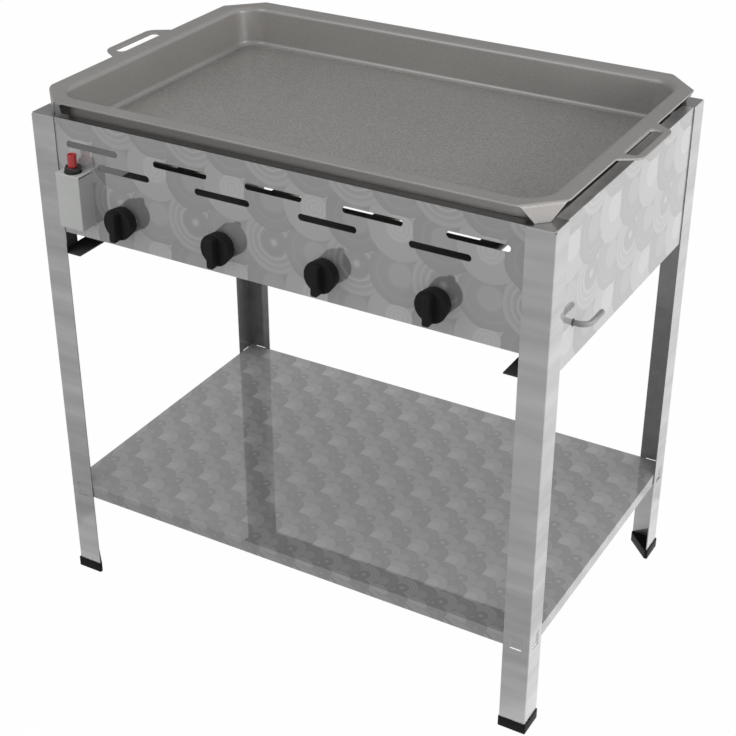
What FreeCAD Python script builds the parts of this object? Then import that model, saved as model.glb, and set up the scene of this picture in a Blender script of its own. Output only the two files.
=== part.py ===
import FreeCAD
import Part
import math
import os

V = FreeCAD.Vector

# Gas griddle: a steel pan on a sheet-metal stand with four burners.
# Millimetres. The origin is on the floor under the middle of the stand, +Z is up, the knobs face -Y.

# Stand
frame_width = 820.0
frame_depth = 530.0
frame_height = 806.0
sheet_gap = 0.3
running_gap = 0.1
overcut = 1.0

# Legs
leg_flange = 41.0
leg_sheet = 1.5
leg_bend = 2.0
leg_plate_edge = 18.0
leg_relief_radius = 3.0
leg_relief_depth = 3.0
bridge_inset = 11.5
bridge_length = 20.0
bridge_depth = 2.0
bridge_ramp = 3.0
bridge_slit = 1.5

# Foot caps
cap_height = 17.0
cap_floor = 3.0
cap_wall = 1.5
cap_gap = 0.15
cap_arm = 42.2
cap_web = 3.6

# Casing panels
panel_sheet = 1.0
panel_bend = 1.5
front_panel_height = 179.5
side_panel_height = 216.0
rear_panel_height = 216.0
front_top_flange = 15.0
side_top_flange = 18.0

# Vent slots
slot_length = 90.0
slot_height = 10.0
slot_margin = 19.0
upper_slot_count = 5
upper_slot_drop = 37.0
lower_slot_drop = 63.0

# Shelf
shelf_height = 171.0
shelf_sheet = 1.0
shelf_edge = 20.5
shelf_edge_gap = 0.5
shelf_corner = 4.0

# Base rails
rail_width = 35.0
rail_sheet = 2.0
rail_inset = 28.0
rail_ear = 70.0
rail_ear_length = 35.5
rail_tab_foot = 42.0
rail_tab_width = 30.0

# Pan
pan_side_inset = 3.0
pan_front_overhang = 6.0
pan_lift = 27.0
pan_sheet = 3.0
pan_rim = 28.5
pan_depth = 63.0
pan_draft = 4.0
pan_corner_radius = 40.0
pan_rim_radius = 9.0
pan_floor_radius = 9.0
pan_chamfer = 46.0
pan_tab_top = 60.0
pan_tab_foot = 21.0
pan_tab_bend = 5.0
handle_reach = 30.0
handle_base = 148.0
handle_top = 110.0
handle_corner = 10.0
handle_slot_length = 96.0
handle_slot_width = 15.0
handle_bar = 13.0

# Burners
burner_count = 4
burner_inset = 158.5
burner_drop = 118.0
burner_radius = 15.0
burner_wall = 1.2
burner_pin_radius = 5.0
burner_pin_length = 18.0
neck_radius = 9.0
neck_length = 26.0
neck_cone = 14.0
neck_overlap = 7.0
air_window_length = 10.0
air_window_height = 8.0
port_pitch = 20.0
port_length = 10.0
port_width = 1.5
port_angle = 40.0
port_start = 25.0

# Rear bracket of the burners
bracket_sheet = 1.5
bracket_depth = 33.5
bracket_below = 20.0
bracket_above = 20.0
bracket_end = 48.0
bracket_lip = 32.0

# Gas line
inlet_drop = 159.6
inlet_back = 78.5
manifold_radius = 9.0
manifold_wall = 1.5
manifold_overhang = 38.0
manifold_end_gap = 10.5
pipe_radius = 4.0
pipe_wall = 1.0
pipe_hole_gap = 1.5
pipe_reach = 20.0
pipe_bend = 14.0
pipe_run = 46.0

# Valves
valve_drop = 133.0
valve_flange_width = 40.0
valve_flange_height = 22.0
valve_flange_sheet = 6.0
valve_housing_radius = 14.0
valve_housing_length = 46.0
valve_arm_width = 18.0
valve_arm_depth = 19.5
valve_arm_foot = 9.5
spigot_radius = 7.0
outlet_radius = 7.0
outlet_length = 11.5
outlet_bore = 2.0
outlet_bore_depth = 14.0
plug_radius = 8.0
plug_length = 25.5
plug_front_wall = 13.0
plug_floor = 7.0
stem_radius = 4.0
stem_flat = 3.0
stem_hole_gap = 2.0
valve_spring_length = 5.0
valve_spring_radius = 2.8
valve_spring_wire = 1.0

# Injectors
injector_flats = 9.0
injector_hex = 6.0
injector_body_radius = 3.8
injector_body = 8.0
injector_tip = 3.0
injector_tip_radius = 1.6
injector_hole = 0.6

# Knobs
knob_stand_off = 6.0
knob_back_radius = 22.0
knob_face_radius = 24.0
knob_skirt = 17.5
knob_round = 1.5
knob_depth = 30.5
knob_hollow = 4.5
knob_hollow_radius = 19.0
knob_boss_radius = 8.5
knob_bore = 20.0
grip_width = 11.0
grip_top = 20.0
grip_nose = 23.0
grip_round = 3.0
grip_root = 15.0

# Screws
screw_radius = 2.0
screw_hole_gap = 0.15
screw_length = 6.5
screw_head_radius = 3.6
screw_head = 2.4
valve_screw_offset = 14.0

# Heat shield over the valves
shield_drop = 86.0
shield_sheet = 1.2
shield_depth = 97.5
shield_lip = 17.0
shield_overhang = 31.5

# Igniter
box_inset = 18.0
box_width = 42.0
box_height = 83.0
box_depth = 30.0
box_sheet = 1.0
box_drop = 71.0
box_slit = 1.0
box_lug = 9.0
box_lug_height = 12.0
box_screw_rise = 30.0
box_notch = 3.0
igniter_radius = 9.0
igniter_length = 46.0
igniter_shoulder_radius = 11.0
igniter_shoulder = 3.0
igniter_neck = 8.0
igniter_floor = 15.0
nut_flats = 22.0
nut_height = 9.0
nut_washer_radius = 13.0
nut_washer = 2.0
button_radius = 6.75
button_height = 27.0
button_length = 46.0
button_round = 1.0
button_dish = 0.8
button_dish_radius = 5.0
igniter_spring_radius = 5.5
igniter_spring_wire = 1.2

# Spark electrode and its lead
lead_radius = 1.5
lead_drop = 22.0
lead_inner_run = 38.5
lead_last_run = 32.0
lead_bend_share = 0.45
grommet_flange_radius = 6.0
grommet_flange = 1.5
grommet_hole_radius = 4.0
ceramic_radius = 3.5
ceramic_length = 38.0
ceramic_clear = 2.2
ceramic_from_front = 105.5
ceramic_nose = 8.0
ceramic_nose_radius = 2.4
wire_radius = 1.0
wire_length = 20.0
electrode_plate = 1.5
electrode_plate_height = 20.0
electrode_plate_margin = 6.0
electrode_plate_back = 23.0

# Planes shared by several pieces
half_width = frame_width / 2
half_depth = frame_depth / 2
casing_half_width = half_width - leg_sheet
casing_half_depth = half_depth - leg_sheet
front_face = -casing_half_depth
front_inside = front_face + panel_sheet
side_panel_bottom = frame_height - side_panel_height
burner_axis = frame_height - burner_drop
valve_axis = frame_height - valve_drop
inlet_axis = frame_height - inlet_drop
inlet_y = -half_depth + inlet_back
box_left = -half_width + leg_flange + box_inset
box_top = frame_height - box_drop
box_bottom = box_top - box_height
box_front = front_face - box_depth
igniter_x = box_left + box_width / 2
igniter_y = front_face - box_depth / 2
igniter_bottom = box_top - igniter_length
lead_hole_z = igniter_bottom - lead_drop
burner_pitch = (frame_width - 2 * burner_inset) / (burner_count - 1)
burner_places = [-half_width + burner_inset + i * burner_pitch for i in range(burner_count)]
knob_back = front_face - knob_stand_off
valve_rear = front_inside + valve_housing_length
outlet_end = valve_rear + outlet_length


def box(x0, x1, y0, y1, z0, z1):
    return Part.makeBox(x1 - x0, y1 - y0, z1 - z0, V(x0, y0, z0))


def rod(radius, start, end):
    along = end.sub(start)
    return Part.makeCylinder(radius, along.Length, start, along)


def cone(start_radius, end_radius, start, end):
    along = end.sub(start)
    return Part.makeCone(start_radius, end_radius, along.Length, start, along)


def prism(points, along):
    return Part.Face(Part.makePolygon(points + points[:1])).extrude(along)


def hexagon(flats, start, along, turn_axis):
    """Hexagonal bar from a start point, with one corner towards turn_axis."""
    side = along.cross(turn_axis).normalize()
    corner = flats / math.sqrt(3)
    angles = [math.radians(60 * i) for i in range(6)]
    points = [start + turn_axis * (corner * math.cos(a)) + side * (corner * math.sin(a)) for a in angles]
    return prism(points, along)


def long_hole(length, width, centre, across, along):
    """Cutter with rounded ends: length runs along across, and along is the way through."""
    side = across.cross(along).normalize()
    reach = across * (length / 2 - width / 2)
    edge = side * (width / 2)
    start = centre - along * 0.5
    ends = [start - reach, start + reach]
    body = prism([ends[0] - edge, ends[1] - edge, ends[1] + edge, ends[0] + edge], along)
    return body.fuse([rod(width / 2, end, end + along) for end in ends]).removeSplitter()


def edges_between(shape, low, high):
    """Edges of a shape that lie inside the box from low to high."""
    slack = 0.01
    inside = FreeCAD.BoundBox(low[0] - slack, low[1] - slack, low[2] - slack,
                              high[0] + slack, high[1] + slack, high[2] + slack)
    return [edge for edge in shape.Edges if inside.isInside(edge.BoundBox)]


def mirror_x(shape):
    return shape.mirror(V(0, 0, 0), V(1, 0, 0))


def mirror_y(shape):
    return shape.mirror(V(0, 0, 0), V(0, 1, 0))


def rounded_rectangle(half_x, half_y, radius, z):
    edges = []
    signs = [(1, 1), (-1, 1), (-1, -1), (1, -1)]
    arcs = []
    for quarter, (sx, sy) in enumerate(signs):
        centre = V(sx * (half_x - radius), sy * (half_y - radius), z)
        turns = [math.radians(90 * quarter + step) for step in (0, 45, 90)]
        arcs.append([centre + V(math.cos(t), math.sin(t), 0) * radius for t in turns])
    for quarter, arc in enumerate(arcs):
        following = arcs[(quarter + 1) % 4]
        edges.append(Part.Arc(*arc).toShape())
        edges.append(Part.LineSegment(arc[2], following[0]).toShape())
    return Part.Wire(edges)


def tub(half_x, half_y, radius, draft, low, high):
    """Tapered block with rounded corners, half_x by half_y at the top."""
    top = rounded_rectangle(half_x, half_y, radius, high)
    bottom = rounded_rectangle(half_x - draft, half_y - draft, radius - draft, low)
    return Part.makeLoft([bottom, top], True, True)


def bent_rod(points, radius, bends):
    """Round bar along straight runs joined by tangent arcs, one radius for each inner point."""
    edges = []
    start = points[0]
    for i, bend in enumerate(bends):
        point = points[i + 1]
        back = (points[i] - point).normalize()
        ahead = (points[i + 2] - point).normalize()
        half_turn = (math.pi - back.getAngle(ahead)) / 2
        reach = bend * math.tan(half_turn)
        bisector = (back + ahead).normalize()
        middle = point + bisector * (bend / math.cos(half_turn) - bend)
        arc_start = point + back * reach
        arc_end = point + ahead * reach
        edges.append(Part.LineSegment(start, arc_start).toShape())
        edges.append(Part.Arc(arc_start, middle, arc_end).toShape())
        start = arc_end
    edges.append(Part.LineSegment(start, points[-1]).toShape())
    path = Part.Wire(edges)
    circle = Part.Circle(points[0], points[1] - points[0], radius).toShape()
    return path.makePipeShell([Part.Wire([circle])], True, False), path.Length


# Stand

def leg_bridge():
    """Strip of the front flange pushed inwards between two slits: the shelf lies on its top edge."""
    u0 = -half_width + bridge_inset
    u1 = u0 + bridge_length
    outer = [(u0, 0), (u0 + bridge_ramp, bridge_depth), (u1 - bridge_ramp, bridge_depth), (u1, 0)]
    inner = [(u, v + leg_sheet) for u, v in reversed(outer)]
    top = shelf_height - shelf_sheet
    bottom = shelf_height - shelf_edge - bridge_slit / 2
    points = [V(u, -half_depth + v, bottom) for u, v in outer + inner]
    strip = prism(points, V(0, 0, top - bottom))
    window = box(u0, u1, -half_depth - overcut, -half_depth + leg_sheet + overcut,
                 bottom - bridge_slit, shelf_height + bridge_slit / 2)
    return strip, window


def leg():
    """Front left leg: an angle with a plate across its top."""
    x0 = -half_width
    y0 = -half_depth
    x1 = x0 + leg_flange
    y1 = y0 + leg_flange
    angle = box(x0, x1, y0, y1, cap_floor, frame_height)
    inside = box(x0 + leg_sheet, x1 + overcut, y0 + leg_sheet, y1 + overcut, 0,
                 frame_height - leg_sheet)
    angle = angle.cut(inside)
    spare = [V(x1, y0 + leg_plate_edge, 0), V(x1, y1, 0), V(x0 + leg_plate_edge, y1, 0)]
    plate_corner = prism(spare, V(0, 0, frame_height))
    angle = angle.cut(plate_corner.cut(box(x0, x0 + leg_sheet, y0, y1, 0, frame_height - leg_sheet)))
    bends = edges_between(angle, (x0, y0, cap_floor), (x0, y0, frame_height))
    bends += edges_between(angle, (x0, y0, frame_height), (x1, y0, frame_height))
    bends += edges_between(angle, (x0, y0, frame_height), (x0, y1, frame_height))
    angle = angle.makeFillet(leg_bend, bends)
    strip, window = leg_bridge()
    for half in (lambda shape: shape, lambda shape: shape.mirror(V(x0, y0, 0), V(1, -1, 0))):
        angle = angle.cut(half(window)).fuse(half(strip))
    relief = rod(leg_relief_radius, V(x0, y0, frame_height - leg_relief_depth), V(x0, y0, frame_height))
    return angle.cut(relief).removeSplitter()


def foot_cap():
    """Front left cap: a three-cornered block with a slot for the leg's angle."""
    outside = -(cap_wall + cap_gap)
    outline = [(outside, outside), (cap_arm, outside), (cap_arm, cap_web), (cap_web, cap_arm),
               (outside, cap_arm)]
    points = [V(-half_width + u, -half_depth + v, 0) for u, v in outline]
    block = prism(points, V(0, 0, cap_height))
    low = -cap_gap
    across = leg_sheet + cap_gap
    along = leg_flange + cap_gap
    for u1, v1 in ((along, across), (across, along)):
        block = block.cut(box(-half_width + low, -half_width + u1, -half_depth + low, -half_depth + v1,
                              cap_floor, cap_height))
    return block


def four_corners(shape, name):
    return {
        name + "_front_left": shape,
        name + "_front_right": mirror_x(shape),
        name + "_back_left": mirror_y(shape),
        name + "_back_right": mirror_x(mirror_y(shape)),
    }


def casing_panel(half_length, flange_half_length, plane, flange, bottom):
    """Sheet across the front at y = plane, with a flange turned inwards along its top."""
    shoulder = frame_height - leg_sheet - sheet_gap
    sheet = box(-half_length, half_length, plane, plane + panel_sheet, bottom, shoulder)
    sheet = sheet.fuse(box(-flange_half_length, flange_half_length, plane, plane + panel_sheet,
                           bottom, frame_height))
    sheet = sheet.fuse(box(-flange_half_length, flange_half_length, plane, plane + flange,
                           frame_height - panel_sheet, frame_height)).removeSplitter()
    bend = edges_between(sheet, (-flange_half_length, plane, frame_height),
                         (flange_half_length, plane, frame_height))
    return sheet.makeFillet(panel_bend, bend)


def front_blank(height):
    return casing_panel(casing_half_width - sheet_gap, half_width - leg_flange - sheet_gap,
                        front_face, front_top_flange, frame_height - height)


def front_panel():
    sheet = front_blank(front_panel_height)
    through = V(0, 4 * panel_sheet, 0)
    row_end = half_width - leg_flange - slot_margin - slot_length / 2
    row_step = 2 * row_end / (upper_slot_count - 1)
    upper = [(-row_end + i * row_step, frame_height - upper_slot_drop) for i in range(upper_slot_count)]
    lower = [(x, frame_height - lower_slot_drop) for x in burner_places]
    middle = front_face + panel_sheet / 2
    cutters = [long_hole(slot_length, slot_height, V(x, middle, z), V(1, 0, 0), through)
               for x, z in upper + lower]
    holes = [(x, valve_axis, stem_radius + stem_hole_gap) for x in burner_places]
    holes += [(x, z, screw_radius + screw_hole_gap) for x, z in valve_screw_places() + box_screw_places()]
    holes.append((igniter_x, lead_hole_z, grommet_hole_radius))
    cutters += [rod(radius, V(x, middle, z) - through, V(x, middle, z) + through) for x, z, radius in holes]
    return sheet.cut(cutters)


def rear_panel():
    return mirror_y(front_blank(rear_panel_height))


def side_blank():
    blank = casing_panel(casing_half_depth - panel_sheet - sheet_gap, half_depth - leg_flange - sheet_gap,
                         -casing_half_width, side_top_flange, side_panel_bottom)
    blank.rotate(V(0, 0, 0), V(0, 0, 1), 90)
    return blank


def left_side_panel():
    return mirror_x(side_blank())


def right_side_panel():
    hole = rod(pipe_radius + pipe_hole_gap, V(casing_half_width - 2 * panel_sheet, inlet_y, inlet_axis),
               V(half_width, inlet_y, inlet_axis))
    return side_blank().cut(hole)


def shelf():
    """Plate with turned-down edges between the legs: its corners lie on the bridges of the legs."""
    half_x = casing_half_width - sheet_gap
    half_y = casing_half_depth - sheet_gap
    outline = []
    for sx, sy in ((1, 1), (-1, 1), (-1, -1), (1, -1)):
        ends = [(sx * half_x, sy * (half_y - shelf_corner)), (sx * (half_x - shelf_corner), sy * half_y)]
        outline += ends if sx == sy else ends[::-1]
    plate = prism([V(x, y, shelf_height - shelf_sheet) for x, y in outline], V(0, 0, shelf_sheet))
    edge_start = bridge_inset + bridge_length + shelf_edge_gap
    edge_x = half_width - edge_start
    edge_y = half_depth - edge_start
    bottom = shelf_height - shelf_edge
    front = box(-edge_x, edge_x, -half_y, -half_y + shelf_sheet, bottom, shelf_height)
    side = box(-half_x, -half_x + shelf_sheet, -edge_y, edge_y, bottom, shelf_height)
    return plate.fuse([front, mirror_y(front), side, mirror_x(side)]).removeSplitter()


def base_rail_left():
    """Strip along the side: an ear turned up at each end has a tab that lies against the panel."""
    x0 = -half_width + rail_inset
    x1 = x0 + rail_width
    end = casing_half_depth - panel_sheet
    bottom = side_panel_bottom
    top = bottom + rail_ear
    ear_end = -end + rail_ear_length
    ear = box(x0, x1, -end, ear_end, bottom, top)
    ear = ear.cut(box(x0 + rail_sheet, x1, -end, ear_end, bottom + rail_sheet, top))
    ear = ear.makeFillet(rail_sheet, edges_between(ear, (x0, -end, bottom), (x0, ear_end, bottom)))
    tab = box(x0, x0 + rail_tab_width, -end, -end + rail_sheet, bottom + rail_tab_foot, top)
    strip = box(x0, x1, ear_end, -ear_end, bottom, bottom + rail_sheet)
    return strip.fuse([ear, mirror_y(ear), tab, mirror_y(tab)]).removeSplitter()


# Pan

def pan_handle(reach_x):
    """Loop in the plane of the rim, on the right end of the pan."""
    root = reach_x - pan_sheet
    outer = reach_x + handle_reach
    low = frame_height + pan_lift - pan_sheet
    points = [(root, -handle_base / 2), (reach_x, -handle_base / 2), (outer, -handle_top / 2),
              (outer, handle_top / 2), (reach_x, handle_base / 2), (root, handle_base / 2)]
    loop = prism([V(x, y, low) for x, y in points], V(0, 0, pan_sheet))
    corners = edges_between(loop, (outer, -handle_top, low), (outer, handle_top, low + pan_sheet))
    upright = [edge for edge in corners if edge.BoundBox.YLength < handle_corner]
    return loop.makeFillet(handle_corner, upright)


def pan_tab(half_x, half_y):
    """Trapezoid bent down from the front left corner of the rim, standing on the leg's top plate."""
    rim = frame_height + pan_lift
    along = V(1, -1, 0).normalize()
    inwards = V(1, 1, 0).normalize() * pan_sheet
    middle = V(-half_x + pan_chamfer / 2, -half_y + pan_chamfer / 2, 0)
    corners = [(-pan_tab_top / 2, rim - pan_sheet), (-pan_tab_foot / 2, frame_height),
               (pan_tab_foot / 2, frame_height), (pan_tab_top / 2, rim - pan_sheet)]
    return prism([middle + along * s + V(0, 0, z) for s, z in corners], inwards)


def pan():
    rim = frame_height + pan_lift
    floor = rim - pan_depth
    half_x = half_width - pan_side_inset
    half_y = half_depth + pan_front_overhang
    outline = []
    for sx, sy in ((1, 1), (-1, 1), (-1, -1), (1, -1)):
        ends = [(sx * half_x, sy * (half_y - pan_chamfer)), (sx * (half_x - pan_chamfer), sy * half_y)]
        outline += ends if sx == sy else ends[::-1]
    plate = prism([V(x, y, rim - pan_sheet) for x, y in outline], V(0, 0, pan_sheet))
    handle = pan_handle(half_x)
    tab = pan_tab(half_x, half_y)
    tabs = [tab, mirror_x(tab), mirror_y(tab), mirror_x(mirror_y(tab))]
    outer = tub(half_x - pan_rim + pan_sheet, half_y - pan_rim + pan_sheet, pan_corner_radius + pan_sheet,
                pan_draft, floor - pan_sheet, rim - pan_sheet / 2)
    body = plate.fuse([handle, mirror_x(handle), outer] + tabs)
    body = body.cut(tub(half_x - pan_rim, half_y - pan_rim, pan_corner_radius, pan_draft, floor, rim))
    slot = long_hole(handle_slot_length, handle_slot_width,
                     V(half_x + handle_reach - handle_bar - handle_slot_width / 2, 0, rim - pan_sheet / 2),
                     V(0, 1, 0), V(0, 0, 2 * pan_sheet))
    body = body.cut([slot, mirror_x(slot)]).removeSplitter()
    inner_x = half_x - pan_rim
    inner_y = half_y - pan_rim
    low_x = inner_x - pan_draft
    low_y = inner_y - pan_draft
    rim_loop = edges_between(body, (-inner_x, -inner_y, rim), (inner_x, inner_y, rim))
    body = body.makeFillet(pan_rim_radius, rim_loop)
    floor_loop = edges_between(body, (-low_x, -low_y, floor), (low_x, low_y, floor))
    body = body.makeFillet(pan_floor_radius, floor_loop)
    under_x = low_x + pan_sheet
    under_y = low_y + pan_sheet
    under = floor - pan_sheet
    under_loop = edges_between(body, (-under_x, -under_y, under), (under_x, under_y, under))
    body = body.makeFillet(pan_floor_radius + pan_sheet, under_loop)
    bends = []
    for edge in edges_between(body, (-half_x, -half_y, rim), (half_x, half_y, rim)):
        bound = edge.BoundBox
        along_x = abs(bound.XLength - pan_chamfer) < overcut
        along_y = abs(bound.YLength - pan_chamfer) < overcut
        if along_x and along_y and edge.Curve.TypeId == "Part::GeomLine":
            bends.append(edge)
    return body.makeFillet(pan_tab_bend, bends)


# Gas line

def gas_manifold():
    x0 = burner_places[0] - manifold_overhang
    x1 = casing_half_width - panel_sheet - manifold_end_gap
    outer = rod(manifold_radius, V(x0, inlet_y, inlet_axis), V(x1, inlet_y, inlet_axis))
    inner = rod(manifold_radius - manifold_wall, V(x0 + manifold_wall, inlet_y, inlet_axis),
                V(x1 - manifold_wall, inlet_y, inlet_axis))
    return outer.cut(inner)


def gas_inlet_pipe():
    """Tube from the end of the manifold, out through the right side and bent towards the back."""
    start = V(casing_half_width - panel_sheet - manifold_end_gap, inlet_y, inlet_axis)
    elbow = V(half_width + pipe_reach, inlet_y, inlet_axis)
    points = [start, elbow, elbow + V(0, pipe_run, 0)]
    outer, length = bent_rod(points, pipe_radius, [pipe_bend])
    inner, length = bent_rod(points, pipe_radius - pipe_wall, [pipe_bend])
    return outer.cut(inner)


def d_bar(radius, flat, x, z, y0, y1):
    """Round bar along Y with a flat along its top."""
    bar = rod(radius, V(x, y0, z), V(x, y1, z))
    return bar.cut(box(x - radius, x + radius, y0, y1, z + flat, z + radius + overcut))


def plug_start():
    return front_inside + plug_front_wall


def stem_end():
    return plug_start() + plug_length - plug_floor - valve_spring_length


def valve_body(x):
    """Tap housing screwed behind the front panel, with an arm down to the manifold and one to the burner."""
    axis_front = V(x, front_inside, valve_axis)
    flange = box(x - valve_flange_width / 2, x + valve_flange_width / 2, front_inside,
                 front_inside + valve_flange_sheet, valve_axis - valve_flange_height / 2,
                 valve_axis + valve_flange_height / 2)
    housing = rod(valve_housing_radius, axis_front, V(x, valve_rear, valve_axis))
    arm = box(x - valve_arm_width / 2, x + valve_arm_width / 2, valve_rear - valve_arm_depth, valve_rear,
              inlet_axis - valve_arm_foot, valve_axis)
    spigot = rod(spigot_radius, V(x, valve_rear - valve_arm_depth, inlet_axis), V(x, inlet_y, inlet_axis))
    outlet = rod(outlet_radius, V(x, valve_rear - valve_arm_depth, burner_axis),
                 V(x, outlet_end, burner_axis))
    body = flange.fuse([housing, arm, spigot, outlet])
    seat = rod(manifold_radius, V(x - valve_flange_width, inlet_y, inlet_axis),
               V(x + valve_flange_width, inlet_y, inlet_axis))
    chamber = rod(plug_radius + running_gap, V(x, plug_start() - running_gap, valve_axis),
                  V(x, plug_start() + plug_length + running_gap, valve_axis))
    passage = rod(stem_radius + running_gap, axis_front, V(x, plug_start(), valve_axis))
    outlet_hole = rod(outlet_bore, V(x, outlet_end - outlet_bore_depth, burner_axis),
                      V(x, outlet_end, burner_axis))
    screw_holes = [rod(screw_radius + screw_hole_gap, V(sx, front_inside, valve_axis),
                       V(sx, front_inside + valve_flange_sheet, valve_axis))
                   for sx in (x - valve_screw_offset, x + valve_screw_offset)]
    return body.cut([seat, chamber, passage, outlet_hole] + screw_holes).removeSplitter()


def valve_plug(x):
    start = plug_start()
    plug = rod(plug_radius, V(x, start, valve_axis), V(x, start + plug_length, valve_axis))
    return plug.cut(d_bar(stem_radius + running_gap, stem_flat + running_gap, x, valve_axis,
                          start, start + plug_length - plug_floor))


def valve_spring(x):
    """Stem return spring, drawn as a sleeve: it is out of sight inside the plug."""
    start = V(x, stem_end(), valve_axis)
    end = start + V(0, valve_spring_length, 0)
    return rod(valve_spring_radius, start, end).cut(rod(valve_spring_radius - valve_spring_wire, start, end))


def valve_stem(x):
    return d_bar(stem_radius, stem_flat, x, valve_axis, knob_back - knob_bore + running_gap, stem_end())


def injector(x):
    """Brass nozzle on the end of the valve's outlet."""
    start = V(x, outlet_end, burner_axis)
    hex_end = start + V(0, injector_hex, 0)
    body_end = hex_end + V(0, injector_body, 0)
    tip_end = body_end + V(0, injector_tip, 0)
    nozzle = hexagon(injector_flats, start, V(0, injector_hex, 0), V(0, 0, 1))
    nozzle = nozzle.fuse([rod(injector_body_radius, hex_end, body_end),
                          cone(injector_body_radius, injector_tip_radius, body_end, tip_end)])
    return nozzle.cut(rod(injector_hole, start, tip_end))


def burner(x):
    """Tube with a narrow neck over the valve's outlet, two rows of ports and a pin at the closed end."""
    neck_start = outlet_end - neck_overlap
    cone_start = neck_start + neck_length
    cone_end = cone_start + neck_cone
    rear = casing_half_depth - panel_sheet - bracket_depth - neck_overlap
    neck_bore = outlet_radius + sheet_gap
    bore = burner_radius - burner_wall

    def at(y):
        return V(x, y, burner_axis)

    outer = rod(neck_radius, at(neck_start), at(cone_start))
    outer = outer.fuse([cone(neck_radius, burner_radius, at(cone_start), at(cone_end)),
                        rod(burner_radius, at(cone_end), at(rear)),
                        rod(burner_pin_radius, at(rear), at(rear + burner_pin_length))])
    inner = rod(neck_bore, at(neck_start), at(cone_start))
    inner = inner.fuse([cone(neck_bore, bore, at(cone_start), at(cone_end)),
                        rod(bore, at(cone_end), at(rear - burner_wall))])
    window_start = outlet_end + injector_hex
    window = box(x - burner_radius, x + burner_radius, window_start, window_start + air_window_length,
                 burner_axis - air_window_height / 2, burner_axis + air_window_height / 2)
    ports = []
    port_count = 1 + int((rear - cone_end - 2 * port_start) / port_pitch)
    for row in (-port_angle, port_angle):
        for i in range(port_count):
            y = cone_end + port_start + i * port_pitch
            port = box(x - port_length / 2, x + port_length / 2, y, y + port_width,
                       burner_axis + burner_radius / 2, burner_axis + 2 * burner_radius)
            port.rotate(at(y), V(0, 1, 0), row)
            ports.append(port)
    return outer.removeSplitter().cut([inner, window] + ports)


def burner_rear_bracket():
    """Channel along the rear panel with a hole for each burner's pin."""
    inside = casing_half_depth - panel_sheet
    front = inside - bracket_depth
    x0 = burner_places[0] - bracket_end
    x1 = burner_places[-1] + bracket_end
    low = burner_axis - bracket_below
    web = box(x0, x1, front, front + bracket_sheet, low, burner_axis + bracket_above)
    base = box(x0, x1, front, inside, low, low + bracket_sheet)
    lip = box(x0, x1, inside - bracket_sheet, inside, low, low + bracket_lip)
    holes = [rod(burner_pin_radius + screw_hole_gap, V(x, front, burner_axis),
                 V(x, front + bracket_sheet, burner_axis)) for x in burner_places]
    return web.fuse([base, lip]).removeSplitter().cut(holes)


def valve_heat_shield():
    x0 = burner_places[0] - shield_overhang
    x1 = burner_places[-1] + shield_overhang
    top = frame_height - shield_drop
    plate = box(x0, x1, front_inside, front_inside + shield_depth, top - shield_sheet, top)
    lip = box(x0, x1, front_inside, front_inside + shield_sheet, top - shield_lip, top)
    return plate.fuse(lip).removeSplitter()


def knob(x):
    """Flared skirt with a rounded face and a raised grip across it, hollow behind."""
    face = knob_back - knob_depth

    def at(y):
        return V(x, y, valve_axis)

    skirt_face = knob_back - knob_skirt
    skirt = cone(knob_back_radius, knob_face_radius, at(knob_back), at(skirt_face))
    rim = [edge for edge in skirt.Edges if edge.BoundBox.YMax < skirt_face + overcut]
    skirt = skirt.makeFillet(knob_round, rim)
    half = grip_width / 2
    root = face + grip_root
    outline = [(-half, grip_top), (half, grip_top), (half, -grip_nose), (-half, -grip_nose)]
    grip = prism([V(x + dx, root, valve_axis + dz) for dx, dz in outline], V(0, -grip_root, 0))
    long_edges = [edge for edge in grip.Edges if edge.BoundBox.YMin < root - overcut]
    grip = grip.makeFillet(grip_round, long_edges)
    ring = rod(knob_hollow_radius, at(knob_back), at(knob_back - knob_hollow))
    ring = ring.cut(rod(knob_boss_radius, at(knob_back), at(knob_back - knob_hollow)))
    bore = d_bar(stem_radius + running_gap, stem_flat + running_gap, x, valve_axis,
                 knob_back - knob_bore, knob_back)
    return skirt.fuse(grip).removeSplitter().cut([ring, bore])


# Screws

def valve_screw_places():
    return [(x + side * valve_screw_offset, valve_axis) for x in burner_places for side in (-1, 1)]


def box_screw_places():
    middle = box_sheet + box_lug / 2
    height = box_bottom + box_screw_rise
    return [(box_left + middle, height), (box_left + box_width - middle, height)]


def screw(x, z, seat, way):
    """Screw whose head bears on the plane y = seat and whose shank points the given way along Y."""
    head = rod(screw_head_radius, V(x, seat, z), V(x, seat - way * screw_head, z))
    return head.fuse(rod(screw_radius, V(x, seat, z), V(x, seat + way * screw_length, z))).removeSplitter()


def panel_screws():
    screws = [screw(x, z, front_face, 1) for x, z in valve_screw_places()]
    screws += [screw(x, z, front_inside, -1) for x, z in box_screw_places()]
    return Part.makeCompound(screws)


# Igniter

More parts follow.
